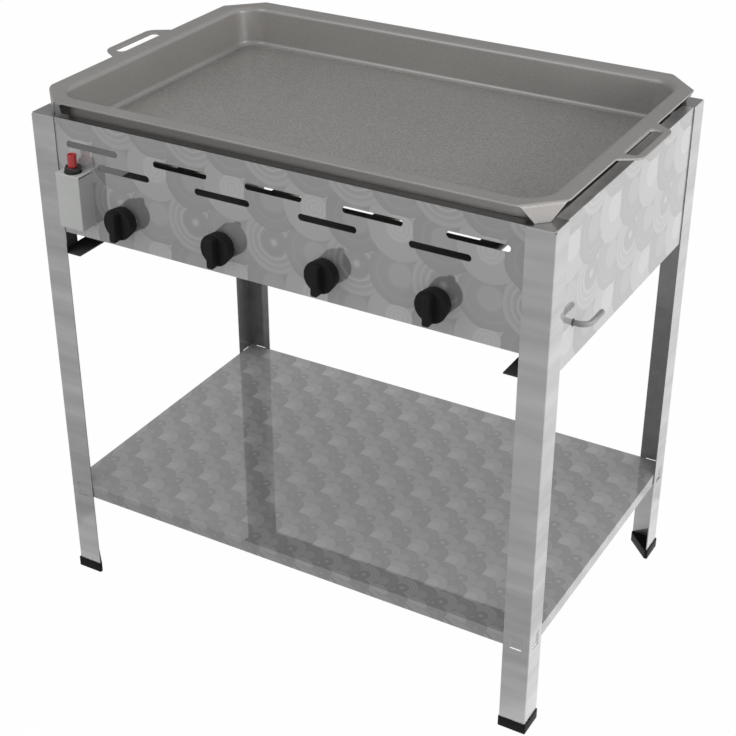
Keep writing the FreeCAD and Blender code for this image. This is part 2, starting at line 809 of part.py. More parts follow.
def igniter_box():
    """Folded cover, open behind and below: the top is cut free of the sides by a slit."""
    x1 = box_left + box_width
    side_top = box_top - box_sheet - box_slit
    front = box(box_left, x1, box_front, box_front + box_sheet, box_bottom, box_top)
    top = box(box_left, x1, box_front, front_face, box_top - box_sheet, box_top)
    pieces = [top]
    for left in (box_left, x1 - box_sheet):
        pieces.append(box(left, left + box_sheet, box_front, front_face, box_bottom, side_top))
    cover = front.fuse(pieces)
    lugs = []
    for (x, z) in box_screw_places():
        wall = box_left if x < igniter_x else x1
        reach = wall + math.copysign(box_sheet + box_lug, igniter_x - wall)
        lugs.append(box(min(wall, reach), max(wall, reach), front_face - box_sheet, front_face,
                        z - box_lug_height / 2, z + box_lug_height / 2))
    cover = cover.fuse(lugs).removeSplitter()
    holes = [rod(screw_radius + screw_hole_gap, V(x, front_face - box_sheet, z), V(x, front_face, z))
             for x, z in box_screw_places()]
    holes.append(rod(igniter_radius + screw_hole_gap, V(igniter_x, igniter_y, box_top - box_sheet),
                     V(igniter_x, igniter_y, box_top)))
    holes.append(box(x1 - box_sheet, x1, front_face - box_notch, front_face,
                     box_bottom, box_bottom + box_notch))
    return cover.cut(holes)


def igniter_axis(z):
    return V(igniter_x, igniter_y, z)


def igniter_body():
    """Piezo barrel hung by its threaded neck from the top of the box."""
    under = box_top - box_sheet
    barrel = rod(igniter_radius, igniter_axis(igniter_bottom), igniter_axis(box_top + igniter_neck))
    shoulder = rod(igniter_shoulder_radius, igniter_axis(under - igniter_shoulder), igniter_axis(under))
    bore = rod(button_radius + running_gap, igniter_axis(igniter_bottom + igniter_floor),
               igniter_axis(box_top + igniter_neck))
    return barrel.fuse(shoulder).removeSplitter().cut(bore)


def igniter_nut():
    bottom = igniter_axis(box_top)
    washer = rod(nut_washer_radius, bottom, igniter_axis(box_top + nut_washer))
    nut = washer.fuse(hexagon(nut_flats, bottom, V(0, 0, nut_height), V(1, 0, 0))).removeSplitter()
    return nut.cut(rod(igniter_radius + screw_hole_gap, bottom, igniter_axis(box_top + nut_height)))


def button_bottom():
    return box_top + button_height - button_length


def igniter_button():
    top = box_top + button_height
    button = rod(button_radius, igniter_axis(button_bottom()), igniter_axis(top))
    rim = edges_between(button, (igniter_x - button_radius, igniter_y - button_radius, top),
                        (igniter_x + button_radius, igniter_y + button_radius, top))
    button = button.makeFillet(button_round, rim)
    return button.cut(rod(button_dish_radius, igniter_axis(top - button_dish), igniter_axis(top)))


def igniter_spring():
    """Hammer spring, drawn as a sleeve: it is out of sight inside the barrel."""
    start = igniter_axis(igniter_bottom + igniter_floor)
    end = igniter_axis(button_bottom())
    sleeve = rod(igniter_spring_radius, start, end)
    return sleeve.cut(rod(igniter_spring_radius - igniter_spring_wire, start, end))


def electrode_x():
    return burner_places[0] - burner_radius - ceramic_clear - ceramic_radius


def electrode_at(y):
    return V(electrode_x(), y, burner_axis)


def ceramic_start():
    return front_inside + ceramic_from_front


def ignition_lead():
    """Insulated wire from the igniter, through the front panel to the electrode."""
    points = [igniter_axis(igniter_bottom), igniter_axis(lead_hole_z),
              V(igniter_x, front_inside + lead_inner_run, lead_hole_z),
              electrode_at(ceramic_start() - lead_last_run), electrode_at(ceramic_start())]
    runs = [(b - a).Length for a, b in zip(points, points[1:])]
    bends = []
    for i in range(1, len(points) - 1):
        turn = (points[i] - points[i - 1]).getAngle(points[i + 1] - points[i])
        bends.append(lead_bend_share * min(runs[i - 1], runs[i]) / math.tan(turn / 2))
    lead, length = bent_rod(points, lead_radius, bends)
    print("lead bends", [round(bend, 1) for bend in bends], "length", round(length, 1),
          "volume ratio", round(lead.Volume / (math.pi * lead_radius ** 2 * length), 4))
    return lead


def lead_grommet():
    """Rubber ring in the front panel round the lead."""
    outside = V(igniter_x, front_face - grommet_flange, lead_hole_z)
    inside = V(igniter_x, front_inside + grommet_flange, lead_hole_z)
    ring = rod(grommet_hole_radius - running_gap, outside, inside)
    ring = ring.fuse([rod(grommet_flange_radius, outside, outside + V(0, grommet_flange, 0)),
                      rod(grommet_flange_radius, inside - V(0, grommet_flange, 0), inside)])
    return ring.removeSplitter().cut(rod(lead_radius + running_gap, outside, inside))


def electrode_ceramic():
    start = electrode_at(ceramic_start())
    shoulder = start + V(0, ceramic_length - ceramic_nose, 0)
    end = start + V(0, ceramic_length, 0)
    nose = cone(ceramic_radius, ceramic_nose_radius, shoulder, end)
    return rod(ceramic_radius, start, shoulder).fuse(nose).removeSplitter()


def electrode_wire():
    start = electrode_at(ceramic_start() + ceramic_length)
    return rod(wire_radius, start, start + V(0, wire_length, 0))


def electrode_bracket():
    """Plate welded to the side of the first burner, with a hole for the ceramic."""
    y0 = ceramic_start() + electrode_plate_back
    y1 = y0 + electrode_plate
    x0 = electrode_x() - ceramic_radius - electrode_plate_margin
    plate = box(x0, burner_places[0], y0, y1, burner_axis - electrode_plate_height / 2,
                burner_axis + electrode_plate_height / 2)
    tube = rod(burner_radius, V(burner_places[0], y0, burner_axis), V(burner_places[0], y1, burner_axis))
    hole = rod(ceramic_radius + running_gap, electrode_at(y0), electrode_at(y1))
    beyond = box(burner_places[0] - burner_radius / 2, burner_places[0], y0, y1,
                 burner_axis - electrode_plate_height, burner_axis + electrode_plate_height)
    return plate.cut([tube, hole, beyond])


pieces = {
    "pan": pan(),
    "front_panel": front_panel(),
    "rear_panel": rear_panel(),
    "left_side_panel": left_side_panel(),
    "right_side_panel": right_side_panel(),
    "shelf": shelf(),
    "base_rail_left": base_rail_left(),
    "base_rail_right": mirror_x(base_rail_left()),
    "valve_heat_shield": valve_heat_shield(),
    "gas_manifold": gas_manifold(),
    "gas_inlet_pipe": gas_inlet_pipe(),
    "burner_rear_bracket": burner_rear_bracket(),
    "panel_screws": panel_screws(),
    "igniter_box": igniter_box(),
    "igniter_body": igniter_body(),
    "igniter_nut": igniter_nut(),
    "igniter_button": igniter_button(),
    "igniter_spring": igniter_spring(),
    "ignition_lead": ignition_lead(),
    "lead_grommet": lead_grommet(),
    "electrode_ceramic": electrode_ceramic(),
    "electrode_wire": electrode_wire(),
    "electrode_bracket": electrode_bracket(),
}
pieces.update(four_corners(leg(), "leg"))
pieces.update(four_corners(foot_cap(), "foot_cap"))
row_makers = {
    "burner": burner,
    "injector": injector,
    "valve_body": valve_body,
    "valve_plug": valve_plug,
    "valve_spring": valve_spring,
    "valve_stem": valve_stem,
    "knob": knob,
}
for row_name, maker in row_makers.items():
    for number, place in enumerate(burner_places, start=1):
        pieces[row_name + "_" + str(number)] = maker(place)

os.makedirs("parts", exist_ok=True)
for node, shape in pieces.items():
    shape.exportStep("parts/" + node + ".step")
    if not shape.isValid():
        print("not valid:", node)
print(len(pieces), "nodes")
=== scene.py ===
import math

import bmesh
import bpy
from mathutils import Matrix, Vector


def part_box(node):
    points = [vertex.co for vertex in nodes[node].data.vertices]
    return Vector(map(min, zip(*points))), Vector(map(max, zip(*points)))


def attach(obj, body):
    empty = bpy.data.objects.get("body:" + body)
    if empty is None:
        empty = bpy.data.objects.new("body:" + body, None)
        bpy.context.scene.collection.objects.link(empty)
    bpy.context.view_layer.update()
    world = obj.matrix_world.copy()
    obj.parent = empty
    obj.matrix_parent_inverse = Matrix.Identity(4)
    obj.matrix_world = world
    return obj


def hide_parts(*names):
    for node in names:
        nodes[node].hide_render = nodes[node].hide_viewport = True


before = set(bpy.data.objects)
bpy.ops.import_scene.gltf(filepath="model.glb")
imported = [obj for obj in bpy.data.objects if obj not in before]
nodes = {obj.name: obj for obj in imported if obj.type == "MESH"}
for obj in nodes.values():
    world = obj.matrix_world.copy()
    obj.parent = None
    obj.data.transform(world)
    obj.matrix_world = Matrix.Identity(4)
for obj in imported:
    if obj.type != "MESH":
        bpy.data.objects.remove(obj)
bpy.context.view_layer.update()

# Foot caps
# Moulded black plastic shoes, one pushed on to the bottom of each angle leg. A cap is a
# three-cornered block with a slot for the sheet, and its edges are rounded by the mould.


def take(piece):
    """Make this the only selected piece."""
    bpy.ops.object.select_all(action="DESELECT")
    piece.select_set(True)
    bpy.context.view_layer.objects.active = piece


def added(name):
    """Name the primitive just added and put its place into its mesh."""
    piece = bpy.context.active_object
    piece.name = name
    take(piece)
    bpy.ops.object.transform_apply(location=True, rotation=True, scale=True)
    return piece


def block(name, low, high):
    """A box between two corners."""
    bpy.ops.object.select_all(action="DESELECT")
    low, high = Vector(low), Vector(high)
    bpy.ops.mesh.primitive_cube_add(size=1, location=(low + high) / 2, scale=high - low)
    return added(name)


def middle(part):
    """The middle of a vertex, edge or face."""
    points = [part.co] if isinstance(part, bmesh.types.BMVert) else [v.co for v in part.verts]
    return sum(points, Vector()) / len(points)


def span(edge, axis):
    """How far an edge reaches along an axis."""
    return abs(edge.verts[0].co[axis] - edge.verts[1].co[axis])


def choose(piece, kind, test):
    """Select, in edit mode, the vertices, edges or faces that pass the test."""
    bpy.ops.mesh.select_mode(type=kind)
    bpy.ops.mesh.select_all(action="DESELECT")
    shape = bmesh.from_edit_mesh(piece.data)
    for part in {"VERT": shape.verts, "EDGE": shape.edges, "FACE": shape.faces}[kind]:
        if test(part):
            part.select_set(True)
    shape.select_flush_mode()
    bmesh.update_edit_mesh(piece.data)


def edit(piece):
    """Enter edit mode with everything selected."""
    take(piece)
    bpy.ops.object.mode_set(mode="EDIT")
    bpy.ops.mesh.select_all(action="SELECT")


def done(piece, smooth=35):
    """Leave edit mode and smooth the faces that meet at less than this angle."""
    if bpy.context.mode != "OBJECT":
        bpy.ops.object.mode_set(mode="OBJECT")
    take(piece)
    bpy.ops.object.shade_smooth_by_angle(angle=math.radians(smooth))


def pull(value):
    """Extrude what is selected."""
    bpy.ops.mesh.extrude_region_move(TRANSFORM_OT_translate={"value": value})


def round_edges(radius, segments):
    """Round the selected edges."""
    bpy.ops.mesh.bevel(offset=radius, segments=segments, affect="EDGES")


def twin(piece, name, place):
    """A copy with its own mesh, moved, turned or mirrored into place."""
    copy = piece.copy()
    copy.data = piece.data.copy()
    copy.name = name
    bpy.context.scene.collection.objects.link(copy)
    copy.data.transform(place)
    if place.determinant() < 0:
        copy.data.flip_normals()
    return copy


class Shade:
    """One socket in a finish. Arithmetic on it adds Math nodes to the same node tree."""

    def __init__(self, socket):
        self.socket = socket

    def node(self, kind, settings, sockets, out=0):
        new = self.socket.id_data.nodes.new(kind)
        for name, value in settings.items():
            if name == "stops":
                ramp = new.color_ramp.elements
                while len(ramp) < len(value):
                    ramp.new(0.5)
                for element, (at, tone) in zip(ramp, value):
                    element.position = at
                    element.color = (tone, tone, tone, 1)
            else:
                setattr(new, name, value)
        for name, value in sockets.items():
            if isinstance(value, Shade):
                self.socket.id_data.links.new(value.socket, new.inputs[name])
            else:
                new.inputs[name].default_value = value
        return Shade(new.outputs[out])

    def math(self, operation, *others):
        return self.node("ShaderNodeMath", {"operation": operation}, dict(enumerate((self, *others))))

    def flipped(self, operation, other):
        return self.node("ShaderNodeMath", {"operation": operation}, {0: other, 1: self})

    def __add__(self, other):
        return self.math("ADD", other)

    __radd__ = __add__

    def __sub__(self, other):
        return self.math("SUBTRACT", other)

    def __rsub__(self, other):
        return self.flipped("SUBTRACT", other)

    def __mul__(self, other):
        return self.math("MULTIPLY", other)

    __rmul__ = __mul__

    def __truediv__(self, other):
        return self.math("DIVIDE", other)

    def __lt__(self, other):
        return self.math("LESS_THAN", other)

    def part(self, axis):
        return self.node("ShaderNodeSeparateXYZ", {}, {0: self}, axis)

    def noise(self, scale, detail, stretch=(1, 1, 1)):
        place = self.node("ShaderNodeMapping", {}, {"Vector": self, "Scale": stretch})
        return self.node("ShaderNodeTexNoise", {}, {"Vector": place, "Scale": scale, "Detail": detail})

    def mix(self, first, second):
        """Colour from first to second as this value goes from 0 to 1."""
        return self.node("ShaderNodeMix", {"data_type": "RGBA"}, {0: self, 6: first, 7: second}, 2)

    def tint(self, dark, light):
        return self.mix((*dark, 1), (*light, 1))

    def bump(self, height, strength):
        return self.node("ShaderNodeBump", {}, {"Height": self, "Distance": height, "Strength": strength})


def finish(name, **constants):
    """A new material, its shader with what is the same all over, and the place on the piece."""
    material = bpy.data.materials.new(name)
    material.use_nodes = True
    shader = material.node_tree.nodes["Principled BSDF"]
    for socket, value in constants.items():
        shader.inputs[socket.replace("_", " ")].default_value = value
    place = material.node_tree.nodes.new("ShaderNodeTexCoord").outputs["Object"]
    return material, shader, Shade(place)


def feed(shader, colour, roughness, normal=None):
    """Link what changes over the surface."""
    links = shader.id_data.links
    links.new(colour.socket, shader.inputs["Base Color"])
    links.new(roughness.socket, shader.inputs["Roughness"])
    if normal:
        links.new(normal.socket, shader.inputs["Normal"])


def plastic(name, dark, light, roughness, grain, gloss):
    """Moulded plastic: a faint cloud in the colour and a fine spark-eroded grain."""
    material, shader, place = finish(name, Specular_IOR_Level=gloss)
    cloud = place.noise(60, 3)
    fine = place.noise(grain, 2)
    feed(shader, cloud.tint(dark, light), roughness - 0.08 + 0.16 * fine, fine.bump(0.00006, 0.5))
    return material


leg_corner = Vector((-0.41, -0.265, 0))
cap_arm = 0.0422
cap_web = 0.0036
corner_round, mouth_round = 0.0012, 0.0006
# The slot's outer wall, inner wall and end, from the corner of the leg.
slot_lines = (-0.00015, 0.00165, 0.04115)
slot_depth = 0.014
cap_low, cap_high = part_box("foot_cap_front_left")
cap = block("cap_front_left", cap_low, cap_high)
edit(cap)
bpy.ops.mesh.bisect(plane_co=leg_corner + Vector((cap_arm, cap_web, 0)), plane_no=(1, 1, 0),
                    use_fill=True, clear_outer=True)
choose(cap, "EDGE", lambda e: span(e, 2) > 0.01)
round_edges(corner_round, 4)
choose(cap, "FACE", lambda f: abs(f.normal.z) > 0.99)
bpy.ops.mesh.region_to_loop()
round_edges(mouth_round, 3)
for across in ((1, 0, 0), (0, 1, 0)):
    for reach in slot_lines:
        choose(cap, "FACE", lambda f: f.normal.z > 0.99)
        bpy.ops.mesh.bisect(plane_co=leg_corner + reach * Vector(across), plane_no=across)


def in_slot(face):
    spot = middle(face) - leg_corner
    thin, long = min(spot.x, spot.y), max(spot.x, spot.y)
    return face.normal.z > 0.99 and slot_lines[0] < thin < slot_lines[1] and long < slot_lines[2]


choose(cap, "FACE", in_slot)
pull((0, 0, -slot_depth))
done(cap)
cap_black = plastic("cap_black", (0.005, 0.005, 0.0053), (0.009, 0.009, 0.0094),
                    roughness=0.5, grain=1400, gloss=0.12)
cap.data.materials.append(cap_black)
caps = {"front_left": cap}
for name, sx, sy in (("front_right", -1, 1), ("back_left", 1, -1), ("back_right", -1, -1)):
    caps[name] = twin(cap, "cap_" + name, Matrix.Diagonal((sx, sy, 1, 1)))
for name, piece in caps.items():
    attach(piece, "stand")
    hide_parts("foot_cap_" + name)

# Legs
# Angles folded from satin steel strip, rolled along their length, so the grain runs up the leg.
# The shape comes from the press: lanced bridges for the shelf and a folded top plate for the pan.


def dress(material, *names):
    """Give CAD nodes a finish."""
    for name in names:
        shape = nodes[name].data
        shape.materials.clear()
        shape.materials.append(material)


def steel(name):
    """Sheet steel: a broad satin reflection under a sharp one."""
    return finish(name, Metallic=1.0, Coat_IOR=2.8, Coat_Roughness=0.025)


fold_z = 0.79


def feed_sheet(shader, place, tone, dark, light, roughness, painted_shade_tone, gloss, painted_fold_tone, normal=None):
    """Feed a steel whose inner faces and upward faces above fold_z are not marbled: the inner faces get a
    darker tone as painted shade inside the casing, and the fold tops get a tone of their own as painted
    light and shade under the pan's rim.

    The shade tone and gloss are the painted tone and the coat of those faces, and the fold tone is the
    painted tone of those fold tops."""
    facing = place.node("ShaderNodeNewGeometry", {}, {}, "Normal")
    outwards = sum(facing.part(axis) * place.part(axis).math("SIGN") for axis in (0, 1))
    top = facing.part(2).math("GREATER_THAN", 0.7) * place.part(2).math("GREATER_THAN", fold_z)
    inside = (outwards < -0.3).math("MAXIMUM", top)
    # The darker tone of the inner faces is painted shade, and the tone of the fold tops is painted light
    # and shade.
    painted_tone = (0.7 + 0.6 * place.noise(40, 4)) * (painted_shade_tone + (painted_fold_tone - painted_shade_tone) * top)
    colour = inside.mix(tone.tint((dark,) * 3, (light,) * 3), painted_tone.tint((0, 0, 0), (1, 1, 1)))
    feed(shader, colour, roughness + inside * (0.5 - roughness), normal)
    polish = 1 + (gloss - 1) * inside
    shader.id_data.links.new(polish.socket, shader.inputs["Coat Weight"])


leg_satin, shader, place = steel("leg_satin")
streaks = place.noise(1.0, 4, (900, 900, 6))
cloud = place.noise(9, 3, (1, 1, 0.4))
waves = place.noise(1.0, 3, (4, 4, 38))
leg_tone = 0.25 * streaks + 0.25 * cloud + 1.4 * (waves - 0.5) + 0.25
# The inner faces of the angles take the darker tone as painted shade, and their top plates take the fold
# tone as painted light and shade.
feed_sheet(shader, place, leg_tone, dark=0.55, light=0.85, roughness=0.8 + 0.16 * streaks,
           painted_shade_tone=0.22, gloss=0.65, painted_fold_tone=0.33, normal=streaks.bump(0.00002, 0.25))
dress(leg_satin, "leg_front_left", "leg_front_right", "leg_back_left", "leg_back_right")

# Shelf
# Thin steel sheet with turned-down edges that lies on the bridges of the legs. Its face is
# marbled: spinning brushes were set down in close rows, and each touch left a round mark.

# The marks come in square tiles with two rows of two. For each mark: its place across and up the tile,
# and the tones that its brush leaves from the middle to the rim.
mark_radius = 0.364
tile_rows = (
    ((0.35, 0.36, ((0, 0.66), (0.06, 0.64), (0.16, 0.38), (0.38, 0.36), (0.46, 0.44), (0.52, 0.64),
                   (0.58, 0.46), (0.66, 0.48), (0.72, 0.61), (0.77, 0.48), (0.85, 0.5), (0.9, 0.58),
                   (1, 0.5))),
     (0.86, 0.35, ((0, 0.51), (0.33, 0.51), (0.44, 0.41), (0.68, 0.4), (0.74, 0.45), (0.8, 0.4),
                   (0.92, 0.39), (1, 0.36)))),
    ((0.346, 0.85, ((0, 0.47), (0.35, 0.47), (0.46, 0.37), (0.6, 0.36), (0.66, 0.42), (0.72, 0.37),
                    (0.92, 0.36), (1, 0.33))),
     (0.846, 0.866, ((0, 0.65), (0.08, 0.73), (0.15, 0.64), (0.23, 0.72), (0.3, 0.64), (0.36, 0.72),
                     (0.46, 0.58), (0.8, 0.57), (1, 0.56)))),
)


def marbling(across, up):
    """Tone of the brush marks, with lengths in tiles. Each mark lies over those before and below it."""
    across, up = across.math("FRACT"), up.math("FRACT")
    tone = 0.5
    for row, below in ((1, 1), (0, 0), (1, 0)):
        for column, before in ((1, 1), (0, 0), (1, 0)):
            at_across, at_up, rings = tile_rows[row][column]
            off_across, off_up = across - (at_across - before), up - (at_up - below)
            reach = (off_across * off_across + off_up * off_up).math("SQRT") / mark_radius
            mark = reach.node("ShaderNodeValToRGB", {"stops": rings}, {"Fac": reach})
            tone = tone + (reach < 1) * (mark - tone)
    return tone


def marbled(name, pick_axes, tile, start, dark, light, painted_shade_tone, gloss, painted_fold_tone):
    """Marbled sheet steel on the two directions of the sheet that pick_axes gives."""
    material, shader, place = steel(name)
    across, up = pick_axes(*(place.part(axis) for axis in range(3)))
    swirl = place.noise(120, 2)
    tone = marbling((across - start[0]) / tile + 0.03 * (swirl - 0.5), (up - start[1]) / tile)
    tone = tone + 0.12 * (place.noise(5, 3) - 0.5)
    feed_sheet(shader, place, tone, dark, light, 1 - 0.14 * tone, painted_shade_tone, gloss, painted_fold_tone)
    return material


shelf_z = 0.171
# The inner sides of the turned-down edges take the darker tone as painted shade.
shelf_marble = marbled("shelf_marble", lambda x, y, z: (0 - x - z, z - y), tile=0.0648,
                       start=(0.0426 - shelf_z, 0.0278 + shelf_z), dark=0.38, light=0.92,
                       painted_shade_tone=0.12, gloss=0.65, painted_fold_tone=0.19)
dress(shelf_marble, "shelf")

# Casing
# Four folded sheets between the legs, marbled with brushes about twice as large as the shelf's.
# The front has two rows of vent slots, and each sheet has a flange turned in along its top.
front_y, side_x, casing_sheet = -0.2635, 0.4085, 0.001
# The inner faces of the sheets take the darker tone as painted shade, and the tops of their flanges take
# the fold tone as painted light and shade under the pan's rim.
front_marble = marbled("front_marble", lambda x, y, z: (x, z - y), tile=0.1296,
                       start=(-0.0462, 0.6489 - front_y), dark=0.32, light=0.98,
                       painted_shade_tone=0.12, gloss=0.65, painted_fold_tone=0.19)
side_marble = marbled("side_marble", lambda x, y, z: (y, z - x), tile=0.136,
                      start=(-0.046, 0.646 - side_x), dark=0.42, light=1.0,
                      painted_shade_tone=0.09, gloss=0.35, painted_fold_tone=0.7)
dress(front_marble, "front_panel", "rear_panel")
dress(side_marble, "left_side_panel", "right_side_panel")

# Base rails and heat shield
# Folded steel strips. The rails have a satin black baked paint and run under the sides of the casing,
# with an ear turned up at each end. The shield, gone grey, keeps the burners' heat off the valves.
rail_black, shader, place = finish("rail_black", Specular_IOR_Level=0.3)
orange_peel = place.noise(420, 2)
rub = place.noise(14, 4)
feed(shader, rub.tint((0.04, 0.04, 0.04), (0.066, 0.066, 0.066)), 0.44 + 0.2 * rub,
     orange_peel.bump(0.00005, 0.4))
dress(rail_black, "base_rail_left", "base_rail_right")
shield_grey, shader, place = finish("shield_grey", Specular_IOR_Level=0.3)
bloom = place.noise(16, 4)
feed(shader, bloom.tint((0.12, 0.12, 0.12), (0.17, 0.17, 0.168)), 0.6 + 0.2 * bloom)
dress(shield_grey, "valve_heat_shield")

# Burners, their rear bracket and the gas line
# Steel tubes. The burners have gone brown in patches from the heat. The manifold, the brackets,
# the valve stems and the electrode's wire keep the plain grey of drawn steel.
tube_grey, shader, place = finish("tube_grey", Metallic=1.0)
drawn = place.noise(1.0, 3, (4, 700, 700))
cloud = place.noise(18, 3)
feed(shader, cloud.tint((0.4, 0.4, 0.4), (0.56, 0.56, 0.55)), 0.3 + 0.18 * drawn, drawn.bump(0.00002, 0.3))
dress(tube_grey, "gas_manifold", "burner_rear_bracket", "electrode_bracket", "electrode_wire",
      "valve_stem_1", "valve_stem_2", "valve_stem_3", "valve_stem_4")
burner_steel, shader, place = finish("burner_steel", Metallic=1.0)
heat = place.noise(22, 4)
drawn = place.noise(1.0, 3, (700, 4, 700))
feed(shader, heat.tint((0.16, 0.13, 0.12), (0.36, 0.34, 0.31)), 0.4 + 0.2 * drawn, drawn.bump(0.00002, 0.3))
dress(burner_steel, "burner_1", "burner_2", "burner_3", "burner_4")

# Gas inlet pipe
# Thin-walled steel tube from the end of the manifold, out through the right side and bent
# towards the back round a small former. Its end is cut square.


def modify(piece, kind, **settings):
    """Add a modifier and apply it."""
    take(piece)
    modifier = piece.modifiers.new(kind.title(), kind)
    for name, value in settings.items():
        setattr(modifier, name, value)
    bpy.ops.object.modifier_apply(modifier=modifier.name)


pipe_radius, pipe_wall, pipe_bend = 0.004, 0.001, 0.014
pipe_from, pipe_elbow, pipe_end = 0.397, Vector((0.43, -0.1865, 0.6464)), -0.1405
bpy.ops.object.select_all(action="DESELECT")
bpy.ops.mesh.primitive_circle_add(vertices=32, radius=pipe_radius, location=(pipe_from, *pipe_elbow.yz),
                                  rotation=(0, math.pi / 2, 0))
pipe = added("inlet_pipe")
edit(pipe)
choose(pipe, "VERT", lambda v: True)
pull((pipe_elbow.x - pipe_bend - pipe_from, 0, 0))
bpy.ops.mesh.spin(steps=14, angle=-math.pi / 2, axis=(0, 0, 1),
                  center=(pipe_elbow.x - pipe_bend, pipe_elbow.y + pipe_bend, pipe_elbow.z))
choose(pipe, "VERT", lambda v: abs(v.co.y - pipe_elbow.y - pipe_bend) < 1e-5)
pull((0, pipe_end - pipe_elbow.y - pipe_bend, 0))
bpy.ops.mesh.select_all(action="SELECT")
bpy.ops.mesh.remove_doubles(threshold=1e-6)
bpy.ops.mesh.normals_make_consistent(inside=False)
done(pipe)
modify(pipe, "SOLIDIFY", thickness=pipe_wall, offset=-1)
pipe_steel, shader, place = finish("pipe_steel", Metallic=1.0)
cloud = place.noise(90, 3)
feed(shader, cloud.tint((0.36, 0.36, 0.36), (0.46, 0.46, 0.457)), 0.36 + 0.14 * cloud)
pipe.data.materials.append(pipe_steel)
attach(pipe, "stand")
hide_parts("gas_inlet_pipe")

# Valves and injectors
# Turned and drilled brass, dulled by handling. The springs behind the plugs are hard drawn
# steel wire with a grey scale on them.
dull_brass, shader, place = finish("dull_brass", Metallic=1.0)
stain = place.noise(120, 4)
feed(shader, stain.tint((0.42, 0.29, 0.1), (0.66, 0.5, 0.22)), 0.24 + 0.22 * stain)
spring_grey, shader, place = finish("spring_grey", Metallic=1.0)
scale = place.noise(300, 3)
feed(shader, scale.tint((0.28, 0.28, 0.28), (0.44, 0.44, 0.44)), 0.3 + 0.2 * scale)
for i in ("1", "2", "3", "4"):
    dress(dull_brass, "valve_body_" + i, "valve_plug_" + i, "injector_" + i)
    dress(spring_grey, "valve_spring_" + i)

# Screws
# Zinc-plated pan-head screws with a cross recess: two hold each valve to the front sheet, and
# two hold the igniter's cover from inside.


def rod(name, sides, radius, length, place, turn=(0, 0, 0)):
    """A round bar, or with few sides a prism, with its middle at the place."""
    bpy.ops.object.select_all(action="DESELECT")
    bpy.ops.mesh.primitive_cylinder_add(vertices=sides, radius=radius, depth=length, location=place,
                                        rotation=turn)
    return added(name)


def combine(piece, operation, tool):
    """Join a tool to a piece or cut it away, and remove the tool."""
    modify(piece, "BOOLEAN", operation=operation, object=tool)
    bpy.data.objects.remove(tool)


head_radius, head_height, head_round = 0.0036, 0.0024, 0.0013
shank_radius, shank = 0.002, 0.0065
recess_long, recess_wide, recess_deep, recess_clear = 0.0028, 0.0006, 0.0012, 0.001
valve_xs, valve_z, valve_screw_reach = (-0.2515, -0.08383, 0.08383, 0.2515), 0.673, 0.014
cover_screw_xs, cover_screw_z = (-0.3455, -0.3145), 0.682
screw = rod("screw", 32, head_radius, head_height, (0, -head_height / 2, 0), (math.pi / 2, 0, 0))
edit(screw)
choose(screw, "FACE", lambda f: f.normal.y > 0.9)
bpy.ops.mesh.inset(thickness=head_radius - shank_radius)
pull((0, shank, 0))
choose(screw, "EDGE", lambda e: middle(e).y < -head_height * 0.99)
round_edges(head_round, 4)
done(screw)
for wide, tall in ((recess_long, recess_wide), (recess_wide, recess_long)):
    blade = block("blade", (-wide / 2, -head_height - recess_clear, -tall / 2),
                  (wide / 2, -head_height + recess_deep, tall / 2))
    combine(screw, "DIFFERENCE", blade)
screw_places = []
for x in valve_xs:
    for side in (-1, 1):
        screw_places.append(Matrix.Translation((x + side * valve_screw_reach, front_y, valve_z)))
turned = Matrix.Rotation(math.pi, 4, "Z")
for x in cover_screw_xs:
    screw_places.append(Matrix.Translation((x, front_y + casing_sheet, cover_screw_z)) @ turned)
screw_copies = [twin(screw, "screw_" + str(i), place) for i, place in enumerate(screw_places)]
bpy.data.objects.remove(screw)
screws = screw_copies[0]
take(screws)
for piece in screw_copies:
    piece.select_set(True)
bpy.ops.object.join()
screws.name = "screws"
zinc, shader, place = finish("zinc", Metallic=1.0)
bloom = place.noise(260, 3)
feed(shader, bloom.tint((0.5, 0.51, 0.52), (0.68, 0.68, 0.67)), 0.22 + 0.2 * bloom)
screws.data.materials.append(zinc)
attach(screws, "stand")
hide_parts("panel_screws")

# Knobs
# Black moulded knobs pushed on the valve stems: a skirt that flares towards a flat rounded face,
# hollow behind, with a grip bar right across the face to turn it by.
knob_x, knob_z, knob_back, knob_pitch = valve_xs[0], valve_z, -0.2695, 0.16767
back_radius, face_radius, skirt_depth = 0.022, 0.024, 0.0175
skirt_wall, hollow_depth, hollow_width = 0.003, 0.009, 0.0105
face_round, back_round, rounded_beyond = 0.0015, 0.0006, 0.0212
grip_half, grip_front, grip_back, grip_low, grip_high = 0.0055, -0.3, -0.285, -0.023, 0.02
grip_corner_round, grip_edge_round = 0.0028, 0.0012
knob_face = knob_back - skirt_depth
knob = rod("dial_1", 96, back_radius, skirt_depth, (knob_x, knob_back - skirt_depth / 2, knob_z),
           (math.pi / 2, 0, 0))
edit(knob)
choose(knob, "FACE", lambda f: f.normal.y < -0.9)
bpy.ops.transform.resize(value=(face_radius / back_radius, 1, face_radius / back_radius),
                         center_override=(knob_x, knob_face, knob_z))
choose(knob, "FACE", lambda f: f.normal.y > 0.9)
bpy.ops.mesh.inset(thickness=skirt_wall)
pull((0, -hollow_depth, 0))
bpy.ops.mesh.inset(thickness=hollow_width)
pull((0, hollow_depth, 0))
for at, radius in ((knob_face, face_round), (knob_back, back_round)):
    choose(knob, "EDGE", lambda e: all(abs(v.co.y - at) < 1e-5 for v in e.verts)
           and (middle(e).xz - Vector((knob_x, knob_z))).length > rounded_beyond)
    round_edges(radius, 4)
done(knob)
grip = block("grip", (knob_x - grip_half, grip_front, knob_z + grip_low),
             (knob_x + grip_half, grip_back, knob_z + grip_high))
edit(grip)
choose(grip, "EDGE", lambda e: span(e, 1) > 0.01)
round_edges(grip_corner_round, 5)
choose(grip, "FACE", lambda f: f.normal.y < -0.9)
